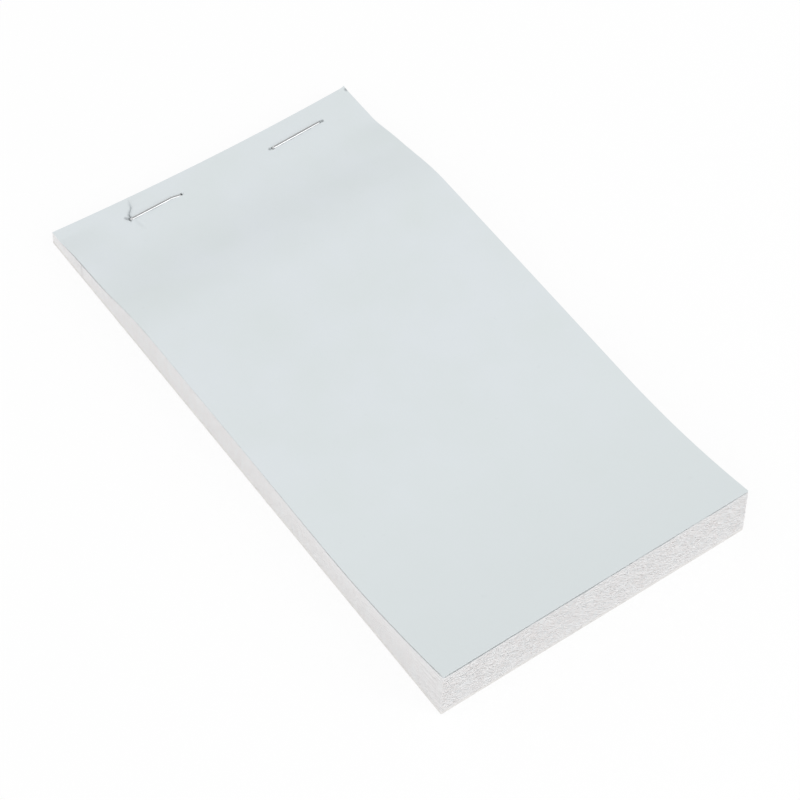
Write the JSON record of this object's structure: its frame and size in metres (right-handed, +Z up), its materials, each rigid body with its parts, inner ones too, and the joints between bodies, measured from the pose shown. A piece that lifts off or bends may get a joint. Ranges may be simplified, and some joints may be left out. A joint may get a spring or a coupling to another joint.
{
  "type": "duplicate receipt book",
  "caption": "Stapled pad of thin tear-off leaves in pairs, under a blank cover sheet on a flat back board; the cover turns back and the leaves fan open at the bound end.",
  "frame": {"origin": "middle of the back board's underside, on the surface that the book lies on", "axes": "+X across the book, +Y from the free end towards the stapled end, +Z up out of the cover"},
  "size_m": [0.076, 0.14, 0.0135],
  "materials": {
    "cover_paper": "smooth matt card",
    "top_copy_paper": "matt thin bond",
    "duplicate_paper": "matt thin tinted",
    "board": "uncoated grey board",
    "staple_wire": "galvanised"
  },
  "bodies": {
    "binding": {"back_board": "board", "duplicate_stubs": "duplicate_paper", "top_copy_stubs": "top_copy_paper", "cover_margin": "cover_paper", "staple_left": "staple_wire", "staple_right": "staple_wire"},
    "duplicate_25": {"duplicate_25": "duplicate_paper"},
    "top_copy_25": {"top_copy_25": "top_copy_paper"},
    "duplicate_24": {"duplicate_24": "duplicate_paper"},
    "top_copy_24": {"top_copy_24": "top_copy_paper"},
    "duplicate_23": {"duplicate_23": "duplicate_paper"},
    "top_copy_23": {"top_copy_23": "top_copy_paper"},
    "duplicate_22": {"duplicate_22": "duplicate_paper"},
    "top_copy_22": {"top_copy_22": "top_copy_paper"},
    "duplicate_21": {"duplicate_21": "duplicate_paper"},
    "top_copy_21": {"top_copy_21": "top_copy_paper"},
    "duplicate_20": {"duplicate_20": "duplicate_paper"},
    "top_copy_20": {"top_copy_20": "top_copy_paper"},
    "duplicate_19": {"duplicate_19": "duplicate_paper"},
    "top_copy_19": {"top_copy_19": "top_copy_paper"},
    "duplicate_18": {"duplicate_18": "duplicate_paper"},
    "top_copy_18": {"top_copy_18": "top_copy_paper"},
    "duplicate_17": {"duplicate_17": "duplicate_paper"},
    "top_copy_17": {"top_copy_17": "top_copy_paper"},
    "duplicate_16": {"duplicate_16": "duplicate_paper"},
    "top_copy_16": {"top_copy_16": "top_copy_paper"},
    "duplicate_15": {"duplicate_15": "duplicate_paper"},
    "top_copy_15": {"top_copy_15": "top_copy_paper"},
    "duplicate_14": {"duplicate_14": "duplicate_paper"},
    "top_copy_14": {"top_copy_14": "top_copy_paper"},
    "duplicate_13": {"duplicate_13": "duplicate_paper"},
    "top_copy_13": {"top_copy_13": "top_copy_paper"},
    "duplicate_12": {"duplicate_12": "duplicate_paper"},
    "top_copy_12": {"top_copy_12": "top_copy_paper"},
    "duplicate_11": {"duplicate_11": "duplicate_paper"},
    "top_copy_11": {"top_copy_11": "top_copy_paper"},
    "duplicate_10": {"duplicate_10": "duplicate_paper"},
    "top_copy_10": {"top_copy_10": "top_copy_paper"},
    "duplicate_09": {"duplicate_09": "duplicate_paper"},
    "top_copy_09": {"top_copy_09": "top_copy_paper"},
    "duplicate_08": {"duplicate_08": "duplicate_paper"},
    "top_copy_08": {"top_copy_08": "top_copy_paper"},
    "duplicate_07": {"duplicate_07": "duplicate_paper"},
    "top_copy_07": {"top_copy_07": "top_copy_paper"},
    "duplicate_06": {"duplicate_06": "duplicate_paper"},
    "top_copy_06": {"top_copy_06": "top_copy_paper"},
    "duplicate_05": {"duplicate_05": "duplicate_paper"},
    "top_copy_05": {"top_copy_05": "top_copy_paper"},
    "duplicate_04": {"duplicate_04": "duplicate_paper"},
    "top_copy_04": {"top_copy_04": "top_copy_paper"},
    "duplicate_03": {"duplicate_03": "duplicate_paper"},
    "top_copy_03": {"top_copy_03": "top_copy_paper"},
    "duplicate_02": {"duplicate_02": "duplicate_paper"},
    "top_copy_02": {"top_copy_02": "top_copy_paper"},
    "duplicate_01": {"duplicate_01": "duplicate_paper"},
    "top_copy_01": {"top_copy_01": "top_copy_paper"},
    "cover": {"front_cover": "cover_paper"}
  },
  "joints": [
    {"name": "duplicate_25_turn", "type": "hinge", "parent": "binding", "child": "duplicate_25", "pos_m": [0, 0.06, 0.0036], "axis": [-1, 0, 0], "range_deg": [0, 0.9]},
    {"name": "top_copy_25_turn", "type": "hinge", "parent": "binding", "child": "top_copy_25", "pos_m": [0, 0.06, 0.0036], "axis": [-1, 0, 0], "range_deg": [0, 1.8]},
    {"name": "duplicate_24_turn", "type": "hinge", "parent": "binding", "child": "duplicate_24", "pos_m": [0, 0.06, 0.0036], "axis": [-1, 0, 0], "range_deg": [0, 2.7]},
    {"name": "top_copy_24_turn", "type": "hinge", "parent": "binding", "child": "top_copy_24", "pos_m": [0, 0.06, 0.0036], "axis": [-1, 0, 0], "range_deg": [0, 3.6]},
    {"name": "duplicate_23_turn", "type": "hinge", "parent": "binding", "child": "duplicate_23", "pos_m": [0, 0.06, 0.0036], "axis": [-1, 0, 0], "range_deg": [0, 4.5]},
    {"name": "top_copy_23_turn", "type": "hinge", "parent": "binding", "child": "top_copy_23", "pos_m": [0, 0.06, 0.0036], "axis": [-1, 0, 0], "range_deg": [0, 5.4]},
    {"name": "duplicate_22_turn", "type": "hinge", "parent": "binding", "child": "duplicate_22", "pos_m": [0, 0.06, 0.0036], "axis": [-1, 0, 0], "range_deg": [0, 6.3]},
    {"name": "top_copy_22_turn", "type": "hinge", "parent": "binding", "child": "top_copy_22", "pos_m": [0, 0.06, 0.0036], "axis": [-1, 0, 0], "range_deg": [0, 7.2]},
    {"name": "duplicate_21_turn", "type": "hinge", "parent": "binding", "child": "duplicate_21", "pos_m": [0, 0.06, 0.0036], "axis": [-1, 0, 0], "range_deg": [0, 8.1]},
    {"name": "top_copy_21_turn", "type": "hinge", "parent": "binding", "child": "top_copy_21", "pos_m": [0, 0.06, 0.0036], "axis": [-1, 0, 0], "range_deg": [0, 9]},
    {"name": "duplicate_20_turn", "type": "hinge", "parent": "binding", "child": "duplicate_20", "pos_m": [0, 0.06, 0.0036], "axis": [-1, 0, 0], "range_deg": [0, 9.9]},
    {"name": "top_copy_20_turn", "type": "hinge", "parent": "binding", "child": "top_copy_20", "pos_m": [0, 0.06, 0.0036], "axis": [-1, 0, 0], "range_deg": [0, 10.8]},
    {"name": "duplicate_19_turn", "type": "hinge", "parent": "binding", "child": "duplicate_19", "pos_m": [0, 0.06, 0.0036], "axis": [-1, 0, 0], "range_deg": [0, 11.7]},
    {"name": "top_copy_19_turn", "type": "hinge", "parent": "binding", "child": "top_copy_19", "pos_m": [0, 0.06, 0.0036], "axis": [-1, 0, 0], "range_deg": [0, 12.6]},
    {"name": "duplicate_18_turn", "type": "hinge", "parent": "binding", "child": "duplicate_18", "pos_m": [0, 0.06, 0.0036], "axis": [-1, 0, 0], "range_deg": [0, 13.5]},
    {"name": "top_copy_18_turn", "type": "hinge", "parent": "binding", "child": "top_copy_18", "pos_m": [0, 0.06, 0.0036], "axis": [-1, 0, 0], "range_deg": [0, 14.4]},
    {"name": "duplicate_17_turn", "type": "hinge", "parent": "binding", "child": "duplicate_17", "pos_m": [0, 0.06, 0.0036], "axis": [-1, 0, 0], "range_deg": [0, 15.3]},
    {"name": "top_copy_17_turn", "type": "hinge", "parent": "binding", "child": "top_copy_17", "pos_m": [0, 0.06, 0.0036], "axis": [-1, 0, 0], "range_deg": [0, 16.2]},
    {"name": "duplicate_16_turn", "type": "hinge", "parent": "binding", "child": "duplicate_16", "pos_m": [0, 0.06, 0.0036], "axis": [-1, 0, 0], "range_deg": [0, 17.1]},
    {"name": "top_copy_16_turn", "type": "hinge", "parent": "binding", "child": "top_copy_16", "pos_m": [0, 0.06, 0.0036], "axis": [-1, 0, 0], "range_deg": [0, 18]},
    {"name": "duplicate_15_turn", "type": "hinge", "parent": "binding", "child": "duplicate_15", "pos_m": [0, 0.06, 0.0036], "axis": [-1, 0, 0], "range_deg": [0, 18.9]},
    {"name": "top_copy_15_turn", "type": "hinge", "parent": "binding", "child": "top_copy_15", "pos_m": [0, 0.06, 0.0036], "axis": [-1, 0, 0], "range_deg": [0, 19.8]},
    {"name": "duplicate_14_turn", "type": "hinge", "parent": "binding", "child": "duplicate_14", "pos_m": [0, 0.06, 0.0036], "axis": [-1, 0, 0], "range_deg": [0, 20.7]},
    {"name": "top_copy_14_turn", "type": "hinge", "parent": "binding", "child": "top_copy_14", "pos_m": [0, 0.06, 0.0036], "axis": [-1, 0, 0], "range_deg": [0, 21.6]},
    {"name": "duplicate_13_turn", "type": "hinge", "parent": "binding", "child": "duplicate_13", "pos_m": [0, 0.06, 0.0036], "axis": [-1, 0, 0], "range_deg": [0, 22.5]},
    {"name": "top_copy_13_turn", "type": "hinge", "parent": "binding", "child": "top_copy_13", "pos_m": [0, 0.06, 0.0036], "axis": [-1, 0, 0], "range_deg": [0, 23.4]},
    {"name": "duplicate_12_turn", "type": "hinge", "parent": "binding", "child": "duplicate_12", "pos_m": [0, 0.06, 0.0036], "axis": [-1, 0, 0], "range_deg": [0, 24.3]},
    {"name": "top_copy_12_turn", "type": "hinge", "parent": "binding", "child": "top_copy_12", "pos_m": [0, 0.06, 0.0036], "axis": [-1, 0, 0], "range_deg": [0, 25.2]},
    {"name": "duplicate_11_turn", "type": "hinge", "parent": "binding", "child": "duplicate_11", "pos_m": [0, 0.06, 0.0036], "axis": [-1, 0, 0], "range_deg": [0, 26.1]},
    {"name": "top_copy_11_turn", "type": "hinge", "parent": "binding", "child": "top_copy_11", "pos_m": [0, 0.06, 0.0036], "axis": [-1, 0, 0], "range_deg": [0, 27]},
    {"name": "duplicate_10_turn", "type": "hinge", "parent": "binding", "child": "duplicate_10", "pos_m": [0, 0.06, 0.0036], "axis": [-1, 0, 0], "range_deg": [0, 27.9]},
    {"name": "top_copy_10_turn", "type": "hinge", "parent": "binding", "child": "top_copy_10", "pos_m": [0, 0.06, 0.0036], "axis": [-1, 0, 0], "range_deg": [0, 28.8]},
    {"name": "duplicate_09_turn", "type": "hinge", "parent": "binding", "child": "duplicate_09", "pos_m": [0, 0.06, 0.0036], "axis": [-1, 0, 0], "range_deg": [0, 29.7]},
    {"name": "top_copy_09_turn", "type": "hinge", "parent": "binding", "child": "top_copy_09", "pos_m": [0, 0.06, 0.0036], "axis": [-1, 0, 0], "range_deg": [0, 30.6]},
    {"name": "duplicate_08_turn", "type": "hinge", "parent": "binding", "child": "duplicate_08", "pos_m": [0, 0.06, 0.0036], "axis": [-1, 0, 0], "range_deg": [0, 31.5]},
    {"name": "top_copy_08_turn", "type": "hinge", "parent": "binding", "child": "top_copy_08", "pos_m": [0, 0.06, 0.0036], "axis": [-1, 0, 0], "range_deg": [0, 32.4]},
    {"name": "duplicate_07_turn", "type": "hinge", "parent": "binding", "child": "duplicate_07", "pos_m": [0, 0.06, 0.0036], "axis": [-1, 0, 0], "range_deg": [0, 33.3]},
    {"name": "top_copy_07_turn", "type": "hinge", "parent": "binding", "child": "top_copy_07", "pos_m": [0, 0.06, 0.0036], "axis": [-1, 0, 0], "range_deg": [0, 34.2]},
    {"name": "duplicate_06_turn", "type": "hinge", "parent": "binding", "child": "duplicate_06", "pos_m": [0, 0.06, 0.0036], "axis": [-1, 0, 0], "range_deg": [0, 35.1]},
    {"name": "top_copy_06_turn", "type": "hinge", "parent": "binding", "child": "top_copy_06", "pos_m": [0, 0.06, 0.0036], "axis": [-1, 0, 0], "range_deg": [0, 36]},
    {"name": "duplicate_05_turn", "type": "hinge", "parent": "binding", "child": "duplicate_05", "pos_m": [0, 0.06, 0.0036], "axis": [-1, 0, 0], "range_deg": [0, 36.9]},
    {"name": "top_copy_05_turn", "type": "hinge", "parent": "binding", "child": "top_copy_05", "pos_m": [0, 0.06, 0.0036], "axis": [-1, 0, 0], "range_deg": [0, 37.8]},
    {"name": "duplicate_04_turn", "type": "hinge", "parent": "binding", "child": "duplicate_04", "pos_m": [0, 0.06, 0.0036], "axis": [-1, 0, 0], "range_deg": [0, 38.7]},
    {"name": "top_copy_04_turn", "type": "hinge", "parent": "binding", "child": "top_copy_04", "pos_m": [0, 0.06, 0.0036], "axis": [-1, 0, 0], "range_deg": [0, 39.6]},
    {"name": "duplicate_03_turn", "type": "hinge", "parent": "binding", "child": "duplicate_03", "pos_m": [0, 0.06, 0.0036], "axis": [-1, 0, 0], "range_deg": [0, 40.5]},
    {"name": "top_copy_03_turn", "type": "hinge", "parent": "binding", "child": "top_copy_03", "pos_m": [0, 0.06, 0.0036], "axis": [-1, 0, 0], "range_deg": [0, 41.4]},
    {"name": "duplicate_02_turn", "type": "hinge", "parent": "binding", "child": "duplicate_02", "pos_m": [0, 0.06, 0.0036], "axis": [-1, 0, 0], "range_deg": [0, 42.3]},
    {"name": "top_copy_02_turn", "type": "hinge", "parent": "binding", "child": "top_copy_02", "pos_m": [0, 0.06, 0.0036], "axis": [-1, 0, 0], "range_deg": [0, 43.2]},
    {"name": "duplicate_01_turn", "type": "hinge", "parent": "binding", "child": "duplicate_01", "pos_m": [0, 0.06, 0.0036], "axis": [-1, 0, 0], "range_deg": [0, 44.1]},
    {"name": "top_copy_01_turn", "type": "hinge", "parent": "binding", "child": "top_copy_01", "pos_m": [0, 0.06, 0.0036], "axis": [-1, 0, 0], "range_deg": [0, 45]},
    {"name": "cover_turn", "type": "hinge", "parent": "top_copy_01", "child": "cover", "pos_m": [0, 0.06, 0.0036], "axis": [-1, 0, 0], "range_deg": [0, 120]}
  ],
  "couplings": [
    {"joint": "duplicate_25_turn", "follows": "top_copy_01_turn", "ratio": 0.02},
    {"joint": "top_copy_25_turn", "follows": "top_copy_01_turn", "ratio": 0.04},
    {"joint": "duplicate_24_turn", "follows": "top_copy_01_turn", "ratio": 0.06},
    {"joint": "top_copy_24_turn", "follows": "top_copy_01_turn", "ratio": 0.08},
    {"joint": "duplicate_23_turn", "follows": "top_copy_01_turn", "ratio": 0.1},
    {"joint": "top_copy_23_turn", "follows": "top_copy_01_turn", "ratio": 0.12},
    {"joint": "duplicate_22_turn", "follows": "top_copy_01_turn", "ratio": 0.14},
    {"joint": "top_copy_22_turn", "follows": "top_copy_01_turn", "ratio": 0.16},
    {"joint": "duplicate_21_turn", "follows": "top_copy_01_turn", "ratio": 0.18},
    {"joint": "top_copy_21_turn", "follows": "top_copy_01_turn", "ratio": 0.2},
    {"joint": "duplicate_20_turn", "follows": "top_copy_01_turn", "ratio": 0.22},
    {"joint": "top_copy_20_turn", "follows": "top_copy_01_turn", "ratio": 0.24},
    {"joint": "duplicate_19_turn", "follows": "top_copy_01_turn", "ratio": 0.26},
    {"joint": "top_copy_19_turn", "follows": "top_copy_01_turn", "ratio": 0.28},
    {"joint": "duplicate_18_turn", "follows": "top_copy_01_turn", "ratio": 0.3},
    {"joint": "top_copy_18_turn", "follows": "top_copy_01_turn", "ratio": 0.32},
    {"joint": "duplicate_17_turn", "follows": "top_copy_01_turn", "ratio": 0.34},
    {"joint": "top_copy_17_turn", "follows": "top_copy_01_turn", "ratio": 0.36},
    {"joint": "duplicate_16_turn", "follows": "top_copy_01_turn", "ratio": 0.38},
    {"joint": "top_copy_16_turn", "follows": "top_copy_01_turn", "ratio": 0.4},
    {"joint": "duplicate_15_turn", "follows": "top_copy_01_turn", "ratio": 0.42},
    {"joint": "top_copy_15_turn", "follows": "top_copy_01_turn", "ratio": 0.44},
    {"joint": "duplicate_14_turn", "follows": "top_copy_01_turn", "ratio": 0.46},
    {"joint": "top_copy_14_turn", "follows": "top_copy_01_turn", "ratio": 0.48},
    {"joint": "duplicate_13_turn", "follows": "top_copy_01_turn", "ratio": 0.5},
    {"joint": "top_copy_13_turn", "follows": "top_copy_01_turn", "ratio": 0.52},
    {"joint": "duplicate_12_turn", "follows": "top_copy_01_turn", "ratio": 0.54},
    {"joint": "top_copy_12_turn", "follows": "top_copy_01_turn", "ratio": 0.56},
    {"joint": "duplicate_11_turn", "follows": "top_copy_01_turn", "ratio": 0.58},
    {"joint": "top_copy_11_turn", "follows": "top_copy_01_turn", "ratio": 0.6},
    {"joint": "duplicate_10_turn", "follows": "top_copy_01_turn", "ratio": 0.62},
    {"joint": "top_copy_10_turn", "follows": "top_copy_01_turn", "ratio": 0.64},
    {"joint": "duplicate_09_turn", "follows": "top_copy_01_turn", "ratio": 0.66},
    {"joint": "top_copy_09_turn", "follows": "top_copy_01_turn", "ratio": 0.68},
    {"joint": "duplicate_08_turn", "follows": "top_copy_01_turn", "ratio": 0.7},
    {"joint": "top_copy_08_turn", "follows": "top_copy_01_turn", "ratio": 0.72},
    {"joint": "duplicate_07_turn", "follows": "top_copy_01_turn", "ratio": 0.74},
    {"joint": "top_copy_07_turn", "follows": "top_copy_01_turn", "ratio": 0.76},
    {"joint": "duplicate_06_turn", "follows": "top_copy_01_turn", "ratio": 0.78},
    {"joint": "top_copy_06_turn", "follows": "top_copy_01_turn", "ratio": 0.8},
    {"joint": "duplicate_05_turn", "follows": "top_copy_01_turn", "ratio": 0.82},
    {"joint": "top_copy_05_turn", "follows": "top_copy_01_turn", "ratio": 0.84},
    {"joint": "duplicate_04_turn", "follows": "top_copy_01_turn", "ratio": 0.86},
    {"joint": "top_copy_04_turn", "follows": "top_copy_01_turn", "ratio": 0.88},
    {"joint": "duplicate_03_turn", "follows": "top_copy_01_turn", "ratio": 0.9},
    {"joint": "top_copy_03_turn", "follows": "top_copy_01_turn", "ratio": 0.92},
    {"joint": "duplicate_02_turn", "follows": "top_copy_01_turn", "ratio": 0.94},
    {"joint": "top_copy_02_turn", "follows": "top_copy_01_turn", "ratio": 0.96},
    {"joint": "duplicate_01_turn", "follows": "top_copy_01_turn", "ratio": 0.98}
  ]
}
